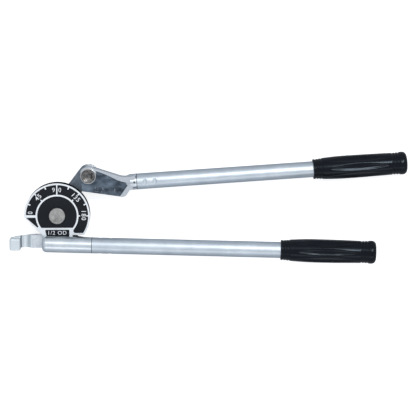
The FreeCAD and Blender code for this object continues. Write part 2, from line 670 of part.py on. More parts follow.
FRAME = [
    forming_wheel(),
    dial_plate(),
    dial_rivet(),
    center_pivot_pin(),
    retaining_ring("center_pin_ring", ORIGIN),
    thrust_washer("center_washer", ORIGIN),
    handle_socket(),
    socket_screws(),
    handle_tube("fixed_handle_tube", "fixed_seam", "fixed_grip_start", (0, 180), FIXED_FRAME),
    handle_grip("fixed_handle_grip", "fixed_grip_start", FIXED_FRAME),
    latch_hinge_pin(),
]
LINK = [
    link_arm(),
    link_bush(),
    shoe_pivot_pin(),
    retaining_ring("shoe_pin_ring", PIVOT),
    thrust_washer("shoe_washer", PIVOT),
]
LEVER = [
    forming_shoe(),
    shoe_bush(),
    handle_tube("moving_handle_tube", "moving_seam", "moving_grip_start", (90, 270), MOVING_FRAME),
    handle_grip("moving_handle_grip", "moving_grip_start", MOVING_FRAME),
]
LATCH = [
    tube_latch_hook(),
    latch_wave_washer(),
]
SUB_PARTS = FRAME + LINK + LEVER + LATCH

# Lying on its back, the tool leans towards the fixed handle and dips towards its grips.
LEAN = FreeCAD.Rotation(Y_AXIS, size("rest_roll")).multiply(FreeCAD.Rotation(X_AXIS, size("rest_tilt")))
tilted = FreeCAD.Placement(ORIGIN, LEAN)
doc.recompute()
extent = FreeCAD.BoundBox()
for part in SUB_PARTS:
    turned_shape = part.Shape.copy()
    turned_shape.Placement = tilted.multiply(turned_shape.Placement)
    extent.add(turned_shape.optimalBoundingBox(False))
REST = FreeCAD.Placement(FreeCAD.Vector(-extent.Center.x, -extent.Center.y, -extent.ZMin), LEAN)
for part in SUB_PARTS:
    part.Placement = REST.multiply(part.Placement)
    part.Label = part.Name
doc.recompute()

for item in doc.Objects:
    if "Invalid" in item.State or "Error" in item.State:
        raise RuntimeError("%s failed: %s" % (item.Name, item.State))
for part in SUB_PARTS:
    if part.Shape.isNull() or not part.Shape.isValid():
        raise RuntimeError("%s has no valid shape" % part.Name)

os.makedirs("parts", exist_ok=True)
for part in SUB_PARTS:
    part.Shape.exportStep(os.path.join("parts", part.Label + ".step"))
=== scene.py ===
import bmesh
import bpy
import json
import math
from mathutils import Matrix, Vector


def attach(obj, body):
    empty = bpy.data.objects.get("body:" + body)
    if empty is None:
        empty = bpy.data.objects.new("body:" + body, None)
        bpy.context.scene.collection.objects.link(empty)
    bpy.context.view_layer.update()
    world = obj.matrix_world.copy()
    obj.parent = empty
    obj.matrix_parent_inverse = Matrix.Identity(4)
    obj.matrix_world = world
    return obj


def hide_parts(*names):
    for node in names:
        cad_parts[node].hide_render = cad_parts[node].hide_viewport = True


# A lever-type bender for half-inch tube, lying on a bench with its dial up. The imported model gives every
# metal piece. This script adds the dial's marks and numbers, the fluted grips, the gauge marks of the shoe,
# and every material. Lengths are in millimetres until a mesh is placed, and MM turns them into metres.

MM = 0.001

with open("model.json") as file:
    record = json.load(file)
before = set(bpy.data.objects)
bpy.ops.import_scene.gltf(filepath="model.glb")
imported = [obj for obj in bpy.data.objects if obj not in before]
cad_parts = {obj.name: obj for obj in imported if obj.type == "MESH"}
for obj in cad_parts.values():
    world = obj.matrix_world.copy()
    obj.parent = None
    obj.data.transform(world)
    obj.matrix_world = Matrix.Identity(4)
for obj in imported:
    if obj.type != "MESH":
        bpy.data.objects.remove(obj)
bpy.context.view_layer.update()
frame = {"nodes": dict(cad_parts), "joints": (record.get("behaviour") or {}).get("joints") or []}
nodes = frame["nodes"]
joints = {joint["name"]: joint for joint in frame["joints"]}


# ---------------------------------------------------------------- places taken from the frame

def tool_matrix():
    """The tool's own frame: origin at the wheel's centre, Y along the latch's hinge, Z out of the dial."""
    out = Vector(joints["link_swing"]["axis"]).normalized()
    up = Vector(joints["latch_swing"]["axis"]).normalized()
    turn = Matrix([up.cross(out), up, out]).transposed().to_4x4()
    return Matrix.Translation(Vector(joints["link_swing"]["pos_m"])) @ turn


TOOL = tool_matrix()
TOOL_INVERSE = TOOL.inverted()
PIVOT = TOOL_INVERSE @ Vector(joints["shoe_pivot"]["pos_m"]) / MM


def node_points(name):
    """A node's vertices in the tool's frame, in millimetres."""
    return [TOOL_INVERSE @ vertex.co / MM for vertex in nodes[name].data.vertices]


def front_of(name):
    return max(point.z for point in node_points(name))


def handle_frame(origin, swing, rise, grip_node):
    """A handle's frame, with its origin at the grip's mouth and X along the tube, and the grip's length.

    swing turns the handle in the dial's plane and rise lifts its far end towards the dial's side.
    """
    turn = Matrix.Rotation(math.radians(swing), 4, "Z") @ Matrix.Rotation(math.radians(-rise), 4, "Y")
    line = Matrix.Translation(Vector(origin)) @ turn
    along = [(line.inverted() @ point).x for point in node_points(grip_node)]
    mouth = line @ Vector((min(along), 0, 0))
    place = TOOL @ Matrix.Translation(mouth * MM) @ turn
    return place, max(along) - min(along)


# Sizes of the CAD model, in millimetres and degrees. A seam is where a handle's tube begins, and it is
# counted here from the mouth of that handle's grip.
BEND_RADIUS = 38.1
GROOVE_RADIUS = 6.4
SHOE_WEB = 7.2
SHOE_SWING = -8
LINK_SWING = 52
FIXED_LINE = (-17.3, -32.5, 17.4)
FIXED_SWING = -1.25
FIXED_RISE = 3.2
FIXED_SEAM = 59.1 - 282.6
MOVING_SWING = 3.8
MOVING_OFFSET = -11.4
MOVING_SEAM = 57.2 - 268.5

# Limits of looks, in the tool's frame: bare casting left of HINGE_SIDE and below HINGE_TOP, and painted
# shade in the corner between the latch's hook and its arm.
HINGE_SIDE = -16.6
HINGE_TOP = -22.2
LATCH_CORNER = (-44.6, -43.0)

MOVING_LINE = PIVOT + Matrix.Rotation(math.radians(MOVING_SWING), 3, "Z") @ Vector((0, MOVING_OFFSET, 0))
FIXED_AXIS, FIXED_LENGTH = handle_frame(FIXED_LINE, FIXED_SWING, FIXED_RISE, "fixed_handle_grip")
MOVING_AXIS, MOVING_LENGTH = handle_frame(MOVING_LINE, MOVING_SWING, 0, "moving_handle_grip")
LINK_AXIS = TOOL @ Matrix.Rotation(math.radians(LINK_SWING), 4, "Z")


# ---------------------------------------------------------------- making meshes

def add_piece(name, mesh, body, material, place=TOOL, smooth=None):
    """Puts a mesh, made in millimetres, at its place and rides it on a body."""
    mesh.transform(place @ Matrix.Scale(MM, 4))
    piece = bpy.data.objects.new(name, mesh)
    bpy.context.scene.collection.objects.link(piece)
    piece.data.materials.clear()
    piece.data.materials.append(material)
    if smooth is not None:
        for polygon in mesh.polygons:
            polygon.use_smooth = True
        mesh.set_sharp_from_angle(angle=math.radians(smooth))
    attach(piece, body)
    return piece


def mesh_of_curve(curve):
    """The mesh that a curve or text makes."""
    carrier = bpy.data.objects.new("carrier", curve)
    bpy.context.scene.collection.objects.link(carrier)
    bpy.context.view_layer.update()
    evaluated = carrier.evaluated_get(bpy.context.evaluated_depsgraph_get())
    mesh = bpy.data.meshes.new_from_object(evaluated)
    bpy.data.objects.remove(carrier)
    return mesh


def polar(radius, degrees):
    return (radius * math.cos(math.radians(degrees)), radius * math.sin(math.radians(degrees)))


def arc(radius, start, end):
    """Points along an arc, about one and a half degrees apart."""
    count = max(2, int(abs(end - start) / 1.5))
    return [polar(radius, start + (end - start) * index / count) for index in range(count + 1)]


SHARP_CORNER = math.radians(20)


def soften(points, radius):
    """An outline with its sharp corners cut round."""
    result = []
    for index, corner in enumerate(points):
        here = Vector(corner)
        before = Vector(points[index - 1]) - here
        after = Vector(points[(index + 1) % len(points)]) - here
        turn = math.pi - before.angle(after, math.pi)
        if turn < SHARP_CORNER:
            result.append(tuple(here))
            continue
        reach = min(radius * math.tan(turn / 2), before.length * 0.45, after.length * 0.45)
        start = here + before.normalized() * reach
        end = here + after.normalized() * reach
        for part in (0, 0.25, 0.5, 0.75, 1):
            near = start.lerp(here, part)
            result.append(tuple(near.lerp(here.lerp(end, part), part)))
    return result


def flat_curve(name, outlines, thickness, bevel):
    """A flat plate from closed outlines, where an outline inside another is a hole."""
    curve = bpy.data.curves.new(name, "CURVE")
    curve.dimensions = "2D"
    curve.fill_mode = "BOTH"
    curve.extrude = thickness / 2 - bevel
    curve.bevel_depth = bevel
    curve.bevel_resolution = 1
    curve.offset = -bevel
    for outline in outlines:
        spline = curve.splines.new("POLY")
        spline.points.add(len(outline) - 1)
        spline.use_cyclic_u = True
        for point, (x, y) in zip(spline.points, outline):
            point.co = (x, y, 0, 1)
    return mesh_of_curve(curve)


def join_meshes(name, meshes):
    joined = bmesh.new()
    for mesh in meshes:
        joined.from_mesh(mesh)
    result = bpy.data.meshes.new(name)
    joined.to_mesh(result)
    joined.free()
    return result


def bar(width, length, height, x, y, degrees):
    """A small raised bar centred on a point, with its length along a direction."""
    work = bmesh.new()
    bmesh.ops.create_cube(work, size=1)
    bmesh.ops.scale(work, vec=(length, width, height), verts=work.verts)
    bmesh.ops.bevel(work, geom=work.edges[:], offset=min(width, height) * 0.18, segments=2, affect="EDGES")
    bmesh.ops.rotate(work, matrix=Matrix.Rotation(math.radians(degrees), 3, "Z"), verts=work.verts)
    bmesh.ops.translate(work, vec=(x, y, 0), verts=work.verts)
    mesh = bpy.data.meshes.new("bar")
    work.to_mesh(mesh)
    work.free()
    return mesh


# Height of the font's capitals, as a part of its size.
CAPITAL_SHARE = 0.7


def letters(text, height, x, y, degrees, thickness, weight=0.0, spread=1.0, squeeze=1.0):
    """Raised characters centred on a point, made from the built-in font.

    weight thickens the strokes, spread sets the characters apart and squeeze narrows them.
    """
    curve = bpy.data.curves.new("text_" + text, "FONT")
    curve.body = text
    curve.size = height / CAPITAL_SHARE
    curve.align_x = "CENTER"
    curve.align_y = "CENTER"
    curve.extrude = thickness / 2
    curve.offset = weight
    curve.space_character = spread
    curve.resolution_u = 4
    mesh = mesh_of_curve(curve)
    low = min(vertex.co.y for vertex in mesh.vertices)
    high = max(vertex.co.y for vertex in mesh.vertices)
    left = min(vertex.co.x for vertex in mesh.vertices)
    right = max(vertex.co.x for vertex in mesh.vertices)
    centre = Vector(((left + right) / 2, (low + high) / 2, 0))
    place = Matrix.Translation((x, y, 0)) @ Matrix.Rotation(math.radians(degrees), 4, "Z")
    mesh.transform(place @ Matrix.Diagonal((squeeze, 1, 1, 1)) @ Matrix.Translation(-centre))
    return mesh


# ---------------------------------------------------------------- materials

def new_material(name):
    material = bpy.data.materials.new(name)
    material.use_nodes = True
    tree = material.node_tree
    tree.nodes.clear()
    output = tree.nodes.new("ShaderNodeOutputMaterial")
    shader = tree.nodes.new("ShaderNodeBsdfPrincipled")
    tree.links.new(shader.outputs["BSDF"], output.inputs["Surface"])
    return material, tree, shader


def place_coordinates(tree, stretch=(1, 1, 1), turn=None):
    """Coordinates fixed to the object, in the tool's frame or another, with a stretch."""
    coordinates = tree.nodes.new("ShaderNodeTexCoord")
    mapping = tree.nodes.new("ShaderNodeMapping")
    mapping.vector_type = "POINT"
    inverse = TOOL_INVERSE if turn is None else turn.inverted()
    mapping.inputs["Location"].default_value = inverse.to_translation()
    mapping.inputs["Rotation"].default_value = inverse.to_euler("XYZ")
    tree.links.new(coordinates.outputs["Object"], mapping.inputs["Vector"])
    if stretch == (1, 1, 1):
        return mapping.outputs["Vector"]
    scale = tree.nodes.new("ShaderNodeVectorMath")
    scale.operation = "MULTIPLY"
    scale.inputs[1].default_value = stretch
    tree.links.new(mapping.outputs["Vector"], scale.inputs[0])
    return scale.outputs["Vector"]


def noise(tree, coordinates, scale, detail=4, roughness=0.55):
    node = tree.nodes.new("ShaderNodeTexNoise")
    node.inputs["Scale"].default_value = scale
    node.inputs["Detail"].default_value = detail
    node.inputs["Roughness"].default_value = roughness
    tree.links.new(coordinates, node.inputs["Vector"])
    return node.outputs["Fac"]


def remap(tree, value, low, high, new_low, new_high):
    node = tree.nodes.new("ShaderNodeMapRange")
    node.inputs["From Min"].default_value = low
    node.inputs["From Max"].default_value = high
    node.inputs["To Min"].default_value = new_low
    node.inputs["To Max"].default_value = new_high
    tree.links.new(value, node.inputs["Value"])
    return node.outputs["Result"]


def blend_colors(tree, factor, first, second):
    node = tree.nodes.new("ShaderNodeMix")
    node.data_type = "RGBA"
    tree.links.new(factor, node.inputs["Factor"])
    for socket, color in ((node.inputs[6], first), (node.inputs[7], second)):
        if isinstance(color, tuple):
            socket.default_value = (*color, 1)
        else:
            tree.links.new(color, socket)
    return node.outputs[2]


def math_node(tree, operation, first, second=0.0):
    node = tree.nodes.new("ShaderNodeMath")
    node.operation = operation
    for socket, value in ((node.inputs[0], first), (node.inputs[1], second)):
        if isinstance(value, (int, float)):
            socket.default_value = value
        else:
            tree.links.new(value, socket)
    return node.outputs[0]


def add_bump(tree, shader, height, strength, distance):
    node = tree.nodes.new("ShaderNodeBump")
    node.inputs["Strength"].default_value = strength
    node.inputs["Distance"].default_value = distance
    tree.links.new(height, node.inputs["Height"])
    tree.links.new(node.outputs["Normal"], shader.inputs["Normal"])


def times(tree, first, second):
    return math_node(tree, "MULTIPLY", first, second)


def plus(tree, first, second):
    return math_node(tree, "ADD", first, second)


def spread_noise(tree, value, low=0.0, high=1.0):
    """A noise's usual range, stretched to run from low to high."""
    return remap(tree, value, 0.3, 0.7, low, high)


def metal(name, dark, light, rough, grain, grain_stretch=(1, 1, 1), bump=0.08, turn=None, metallic=1.0,
          edge=None):
    """A metal with cloudy tone, fine grain along one direction, and uneven gloss."""
    material, tree, shader = new_material(name)
    cloud = noise(tree, place_coordinates(tree, turn=turn), 60, 3)
    fine = noise(tree, place_coordinates(tree, grain_stretch, turn), grain, 5, 0.65)
    tone = plus(tree, times(tree, cloud, 0.6), times(tree, fine, 0.4))
    color = blend_colors(tree, spread_noise(tree, tone), dark, light)
    tree.links.new(color, shader.inputs["Base Color"])
    tree.links.new(spread_noise(tree, fine, *rough), shader.inputs["Roughness"])
    shader.inputs["Metallic"].default_value = metallic
    if edge:
        shader.inputs["Specular Tint"].default_value = (*edge, 1)
    add_bump(tree, shader, fine, bump, 0.00005)
    return material


def within(tree, value, low, high, soft):
    """1 where a value lies between two limits, with soft ends."""
    rise = remap(tree, value, low - soft, low + soft, 0, 1)
    fall = remap(tree, value, high - soft, high + soft, 1, 0)
    return times(tree, rise, fall)


def from_axis(tree, coordinates, centre):
    """The distance from a line along Z through a place given in millimetres."""
    flat = tree.nodes.new("ShaderNodeVectorMath")
    flat.operation = "MULTIPLY_ADD"
    flat.inputs[1].default_value = (1, 1, 0)
    flat.inputs[2].default_value = (-centre.x * MM, -centre.y * MM, 0)
    tree.links.new(coordinates, flat.inputs[0])
    length = tree.nodes.new("ShaderNodeVectorMath")
    length.operation = "LENGTH"
    tree.links.new(flat.outputs["Vector"], length.inputs[0])
    return length.outputs["Value"]


def split_axes(tree, coordinates):
    split = tree.nodes.new("ShaderNodeSeparateXYZ")
    tree.links.new(coordinates, split.inputs["Vector"])
    return split.outputs["X"], split.outputs["Y"], split.outputs["Z"]


def darken(material, place, low, high, color, soft=0.00008):
    """Darkens a thin band across X of a frame: dirt and painted shade in a seam, or painted shade in a
    corner.
    """
    tree = material.node_tree
    shader = next(node for node in tree.nodes if node.type == "BSDF_PRINCIPLED")
    source = shader.inputs["Base Color"].links[0].from_socket
    along = split_axes(tree, place_coordinates(tree, turn=place))[0]
    band = within(tree, along, low * MM, high * MM, soft)
    tree.links.new(blend_colors(tree, band, source, color), shader.inputs["Base Color"])


PLATING_EDGE = (0.5, 0.54, 0.58)


def plated_tube(name, turn):
    """Bright plating over drawn tube: long fine draw lines and a soft mottle."""
    return metal(name, (0.555, 0.612, 0.665), (0.71, 0.77, 0.825), (0.42, 0.50), 900, (0.02, 1, 1), 0.1,
                 turn, edge=PLATING_EDGE)


def black_enamel(name, color, rough):
    """Satin black enamel with orange peel and a faint cloud."""
    material, tree, shader = new_material(name)
    coordinates = place_coordinates(tree)
    peel = noise(tree, coordinates, 900, 3)
    cloud = noise(tree, coordinates, 45, 2)
    light = tuple(channel * 1.5 + 0.004 for channel in color)
    tree.links.new(blend_colors(tree, cloud, color, light), shader.inputs["Base Color"])
    tree.links.new(spread_noise(tree, peel, rough, rough + 0.12), shader.inputs["Roughness"])
    shader.inputs["Specular IOR Level"].default_value = 0.15
    add_bump(tree, shader, peel, 0.1, 0.0002)
    return material


def wheel_material():
    """Black enamel, rubbed thin in the tube groove, and bare casting at the latch's hinge."""
    material, tree, shader = new_material("wheel_enamel")
    coordinates = place_coordinates(tree)
    along, up, out = split_axes(tree, coordinates)
    fine = noise(tree, coordinates, 500, 4)
    cloud = noise(tree, coordinates, 90, 3)
    radial = math_node(tree, "SUBTRACT", from_axis(tree, coordinates, Vector((0, 0))), BEND_RADIUS * MM)
    across = plus(tree, times(tree, radial, radial), times(tree, out, out))
    ragged = times(tree, cloud, 0.8 * MM)
    distance = plus(tree, math_node(tree, "SQRT", across), ragged)
    rubbed = remap(tree, distance, GROOVE_RADIUS * MM, (GROOVE_RADIUS + 0.8) * MM, 0.5, 0)
    rubbed = times(tree, rubbed, remap(tree, cloud, 0.45, 0.65, 0, 1))
    beside = remap(tree, along, HINGE_SIDE * MM, (HINGE_SIDE + 0.3) * MM, 1, 0)
    below = remap(tree, up, (HINGE_TOP - 0.6) * MM, HINGE_TOP * MM, 1, 0)
    hinge = times(tree, beside, below)
    enamel = blend_colors(tree, rubbed, (0.006, 0.0065, 0.008), (0.05, 0.052, 0.058))
    cast = blend_colors(tree, spread_noise(tree, fine), (0.66, 0.70, 0.75), (0.86, 0.89, 0.92))
    tree.links.new(blend_colors(tree, hinge, enamel, cast), shader.inputs["Base Color"])
    tree.links.new(hinge, shader.inputs["Metallic"])
    tree.links.new(spread_noise(tree, fine, 0.40, 0.52), shader.inputs["Roughness"])
    shader.inputs["Specular IOR Level"].default_value = 0.06
    add_bump(tree, shader, fine, 0.2, 0.0001)
    return material


CUP_RIM = (8.3, 8.6)


def cup_material():
    """The shoe pin: a dull, stained dish inside a rim that is painted bright as its highlight."""
    material, tree, shader = new_material("shoe_pin_steel")
    coordinates = place_coordinates(tree)
    stain = noise(tree, coordinates, 330, 5, 0.7)
    fine = noise(tree, coordinates, 1200, 3)
    # Painted highlight: a bright ring round the pin's rim.
    rim = remap(tree, from_axis(tree, coordinates, PIVOT), CUP_RIM[0] * MM, CUP_RIM[1] * MM, 0, 1)
    stained = remap(tree, stain, 0.38, 0.62, 0, 1)
    dull = blend_colors(tree, stained, (0.055, 0.052, 0.05), (0.25, 0.245, 0.24))
    tree.links.new(blend_colors(tree, rim, dull, (0.66, 0.66, 0.65)), shader.inputs["Base Color"])
    tree.links.new(spread_noise(tree, stain, 0.26, 0.42), shader.inputs["Roughness"])
    shader.inputs["Metallic"].default_value = 1.0
    add_bump(tree, shader, plus(tree, stain, times(tree, fine, 0.3)), 0.5, 0.0001)
    return material


def link_material():
    """Blue-grey forged steel with long grain, and a painted highlight that makes its end round the shoe pin
    brighter.
    """
    material, tree, shader = new_material("link_steel")
    grain = noise(tree, place_coordinates(tree, (0.25, 1, 1), LINK_AXIS), 700, 5, 0.6)
    cloud = noise(tree, place_coordinates(tree), 90, 3)
    tone = plus(tree, times(tree, grain, 0.5), times(tree, cloud, 0.5))
    steel = blend_colors(tree, remap(tree, tone, 0.35, 0.65, 0, 1), (0.13, 0.16, 0.195), (0.27, 0.31, 0.36))
    along = split_axes(tree, place_coordinates(tree, turn=LINK_AXIS))[0]
    # Painted highlight: the link's end past the shoe pin is blended to a light colour, as if lit.
    lit_end = remap(tree, along, (PIVOT.length + 5) * MM, (PIVOT.length + 9) * MM, 0, 1)
    tree.links.new(blend_colors(tree, lit_end, steel, (0.68, 0.72, 0.76)), shader.inputs["Base Color"])
    tree.links.new(spread_noise(tree, grain, 0.32, 0.44), shader.inputs["Roughness"])
    shader.inputs["Metallic"].default_value = 1.0
    add_bump(tree, shader, grain, 0.4, 0.00006)
    return material


SHOE_BOSS = (10.6, 11.0)


def shoe_material():
    """Cast steel: dark and rough on the web's faces, polished on the rims, neck and edges."""
    material, tree, shader = new_material("shoe_casting")
    coordinates = place_coordinates(tree)
    _, up, out = split_axes(tree, coordinates)
    depth = math_node(tree, "ABSOLUTE", out)
    before = remap(tree, depth, (SHOE_WEB + 0.05) * MM, (SHOE_WEB + 0.6) * MM, 1, 0)
    behind = remap(tree, depth, (SHOE_WEB - 0.6) * MM, (SHOE_WEB - 0.05) * MM, 0, 1)
    boss = remap(tree, from_axis(tree, coordinates, PIVOT), SHOE_BOSS[0] * MM, SHOE_BOSS[1] * MM, 1, 0)
    low_side = remap(tree, up, (PIVOT.y + 2) * MM, (PIVOT.y + 6) * MM, 1, 0)
    web = math_node(tree, "MAXIMUM", times(tree, before, behind), times(tree, boss, low_side))
    sand = noise(tree, coordinates, 700, 6, 0.7)
    cloud = noise(tree, place_coordinates(tree, (1, 1.6, 1)), 55, 4, 0.6)
    worn = remap(tree, cloud, 0.35, 0.68, 0, 1)
    dark = blend_colors(tree, worn, (0.035, 0.047, 0.062), (0.20, 0.25, 0.31))
    bright = blend_colors(tree, spread_noise(tree, sand), (0.58, 0.62, 0.67), (0.74, 0.78, 0.82))
    tree.links.new(blend_colors(tree, web, bright, dark), shader.inputs["Base Color"])
    shader.inputs["Metallic"].default_value = 1.0
    rough = plus(tree, spread_noise(tree, sand, 0.26, 0.38), times(tree, web, 0.16))
    tree.links.new(rough, shader.inputs["Roughness"])
    add_bump(tree, shader, times(tree, sand, plus(tree, times(tree, web, 0.8), 0.12)), 0.5, 0.0001)
    return material


def vinyl():
    """Glossy black vinyl with faint moulding flow."""
    material, tree, shader = new_material("grip_vinyl")
    coordinates = place_coordinates(tree)
    flow = noise(tree, coordinates, 140, 3)
    fine = noise(tree, coordinates, 1500, 3)
    tree.links.new(blend_colors(tree, flow, (0.003, 0.0035, 0.005), (0.007, 0.008, 0.011)),
                   shader.inputs["Base Color"])
    tree.links.new(spread_noise(tree, flow, 0.12, 0.19), shader.inputs["Roughness"])
    shader.inputs["Specular IOR Level"].default_value = 0.19
    shader.inputs["Specular Tint"].default_value = (0.72, 0.86, 1.0, 1)
    add_bump(tree, shader, fine, 0.1, 0.00001)
    return material


MATERIALS = {
    "enamel": black_enamel("dial_enamel", (0.006, 0.0075, 0.011), 0.42),
    "marks": metal("dial_bare_marks", (0.80, 0.83, 0.86), (0.93, 0.95, 0.97), (0.4, 0.5), 700,
                   metallic=0.35),
    "wheel": wheel_material(),
    "shoe": shoe_material(),
    "pin": metal("pin_head_steel", (0.13, 0.13, 0.125), (0.66, 0.655, 0.63), (0.46, 0.6), 330, bump=1.0),
    "cup": cup_material(),
    "cast": metal("cast_plated", (0.65, 0.71, 0.765), (0.83, 0.885, 0.925), (0.30, 0.38), 300, bump=0.3,
                  edge=PLATING_EDGE),
    "link": link_material(),
    "latch": metal("latch_plated", (0.77, 0.835, 0.87), (0.93, 0.975, 0.995), (0.34, 0.44), 420, bump=0.4,
                   metallic=0.8),
    "fixed_tube": plated_tube("fixed_tube_plating", FIXED_AXIS),
    "moving_tube": plated_tube("moving_tube_plating", MOVING_AXIS),
    "bronze": metal("bush_bronze", (0.42, 0.27, 0.12), (0.62, 0.42, 0.20), (0.34, 0.48), 600),
    "spring": metal("spring_steel", (0.09, 0.09, 0.095), (0.20, 0.20, 0.21), (0.36, 0.5), 500),
    "screw": metal("black_oxide", (0.020, 0.021, 0.024), (0.05, 0.05, 0.055), (0.34, 0.46), 500),
    "vinyl": vinyl(),
}

# A dark band of dirt and painted shade, standing for the shaded gap of a seam, lies on both sides of the
# seam. HIDDEN takes each band on past the seam, where its piece is out of sight inside the tube or has
# ended.
SEAM_DIRT_AND_SHADE = (0.05, 0.055, 0.065)
HIDDEN = 5
darken(MATERIALS["cast"], FIXED_AXIS, FIXED_SEAM - 0.45, FIXED_SEAM + HIDDEN, SEAM_DIRT_AND_SHADE)
darken(MATERIALS["fixed_tube"], FIXED_AXIS, FIXED_SEAM - HIDDEN, FIXED_SEAM + 0.2, SEAM_DIRT_AND_SHADE)
darken(MATERIALS["shoe"], MOVING_AXIS, MOVING_SEAM - 0.4, MOVING_SEAM + HIDDEN, SEAM_DIRT_AND_SHADE)
darken(MATERIALS["moving_tube"], MOVING_AXIS, MOVING_SEAM - HIDDEN, MOVING_SEAM + 0.25, SEAM_DIRT_AND_SHADE)
# Painted shade: a dark band in the corner between the latch's hook and its arm, where the hook's side shades
# the arm.
darken(MATERIALS["latch"], TOOL, *LATCH_CORNER, (0.20, 0.22, 0.25), 0.4 * MM)

NODE_MATERIALS = {
    "forming_wheel": "wheel", "dial_plate": "enamel", "dial_rivet": "latch", "center_pivot_pin": "pin",
    "center_pin_ring": "spring", "center_washer": "bronze", "handle_socket": "cast",
    "socket_screws": "screw", "fixed_handle_tube": "fixed_tube", "latch_hinge_pin": "pin",
    "link_arm": "link", "link_bush": "bronze", "shoe_pivot_pin": "cup", "shoe_pin_ring": "spring",
    "shoe_washer": "bronze", "forming_shoe": "shoe", "shoe_bush": "bronze",
    "moving_handle_tube": "moving_tube", "tube_latch_hook": "latch", "latch_wave_washer": "spring",
}


def dress_nodes():
    """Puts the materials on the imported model's own pieces."""
    for name, key in NODE_MATERIALS.items():
        for material_slot in nodes[name].material_slots:
            material_slot.link = "OBJECT"
            material_slot.material = MATERIALS[key]


# ---------------------------------------------------------------- dial

# The dial's plate, rings and panels: radii, degrees, and distances from the wheel's centre.
RIM = 39.1
RIM_START = 182
RIM_END = -36
PLATE_LEFT = -16.4
PLATE_RIGHT = 18.2
PLATE_BOTTOM = -25.9
PLATE_CORNER = -24.4
OUTER_RING = 37.0
INNER_RING = (23.5, 25.5)
FLAT = -14.3
SIDE_FLAT = -20.6
WEDGE_TOP = -2.0

MARK_HEIGHT = 0.25
MARK_BEVEL = 0.05


def dial_outlines():
    """The bare metal of the dial: its outline, and inside it the outlines of the enamel panels."""
    inset = 0.1
    plate = arc(RIM - inset, RIM_START, RIM_END)
    plate += [(PLATE_RIGHT, polar(RIM, RIM_END)[1] + inset), (PLATE_RIGHT, PLATE_BOTTOM)]
    plate += [(PLATE_LEFT, PLATE_BOTTOM), (PLATE_LEFT, PLATE_CORNER)]
    corner = math.degrees(math.asin(FLAT / INNER_RING[0]))
    middle = soften(arc(INNER_RING[0], 180 - corner, corner), 3.2)
    inner = INNER_RING[1]
    low_band = soften(arc(OUTER_RING, 178.3, 91.1) + arc(inner, 91.6, 177.7), 0.5)
    band_end = math.degrees(math.asin(SIDE_FLAT / OUTER_RING))
    foot = [(20.6, SIDE_FLAT), (19.2, -18.6)]
    high_band = soften(arc(OUTER_RING, 88.9, band_end) + foot + arc(inner, -40, 88.4), 0.7)
    wedge_edge = [(-OUTER_RING, WEDGE_TOP), (-inner - 0.3, WEDGE_TOP)]
    wedge = soften(wedge_edge + arc(inner, 186, 210) + [(-23.4, -13.9)], 0.6)
    label = soften([(-14.3, -16.6), (14.4, -16.6), (14.4, -25.6), (-12.4, -25.6)], 0.6)
    return [plate, middle, low_band, high_band, wedge, label]


def add_to_dial(name, parts):
    mesh = join_meshes(name, parts)
    mesh.transform(Matrix.Translation((0, 0, front_of("dial_plate") + MARK_HEIGHT / 2)))
    add_piece(name, mesh, "frame", MATERIALS["marks"])


def dial_marks():
    """Bare metal lines and borders, standing proud of the enamel.

    There is a mark every 22.5 degrees. At 0 and 90 the gap between two panels is the mark. Of the others,
    those with a number have a second mark on the inner ring.
    """
    parts = [flat_curve("dial_lines", dial_outlines(), MARK_HEIGHT, MARK_BEVEL)]
    for index in range(9):
        degrees = 180 - 22.5 * index
        if index in (0, 4):
            continue
        numbered = index % 2 == 0
        length = 2.4 if numbered else 3.0
        parts.append(bar(1.5, length, MARK_HEIGHT, *polar(OUTER_RING - length / 2 + 0.2, degrees), degrees))
        if numbered:
            parts.append(bar(1.4, 2.0, MARK_HEIGHT, *polar(INNER_RING[1] + 0.8, degrees), degrees))
    add_to_dial("dial_marks", parts)


def dial_numbers():
    """The degrees, with their tops outwards, and the tube size under the dial."""
    radius = 31.6
    parts = [
        letters("0", 5.5, -31.8, 4.0, 90, MARK_HEIGHT, 0.02, squeeze=0.82),
        letters("45", 5.4, *polar(radius, 135), 45, MARK_HEIGHT, 0.04, 1.1),
        letters("9", 5.2, -3.9, radius - 0.4, 2, MARK_HEIGHT, 0.0),
        letters("0", 5.2, 3.5, radius - 0.4, -2, MARK_HEIGHT, 0.0),
        letters("135", 5.2, *polar(radius, 44), -46, MARK_HEIGHT, 0.04, 1.15),
        letters("180", 5.4, 31.7, 0.3, -90, MARK_HEIGHT, 0.02, 1.2, 0.95),
        letters("1/2 OD", 4.6, 0.3, -20.2, 0, MARK_HEIGHT, 0.03, 1.15),
    ]
    add_to_dial("dial_numbers", parts)


def shoe_marks():
    """Raised cast gauge marks on the shoe's web."""
    groove = Matrix.Translation(PIVOT) @ Matrix.Rotation(math.radians(SHOE_SWING), 4, "Z")
    thickness = 0.3
    sunk = 0.02
    parts = [
        letters("45", 4.0, 11.5, -13.0, 0, thickness, 0.05),
        letters("R", 4.0, 20.0, -13.2, 0, thickness, 0.05),
        letters("L", 4.2, 34.5, -13.0, 0, thickness, 0.05),
        bar(0.7, 4.5, thickness, 12.5, -17.0, 0),
        bar(0.7, 3.0, thickness, 18.5, -17.2, 90),
    ]
    mesh = join_meshes("shoe_gauge_marks", parts)
    mesh.transform(groove @ Matrix.Translation((0, 0, SHOE_WEB + thickness / 2 - sunk)))
    add_piece("shoe_gauge_marks", mesh, "lever", MATERIALS["link"])


# ---------------------------------------------------------------- grips

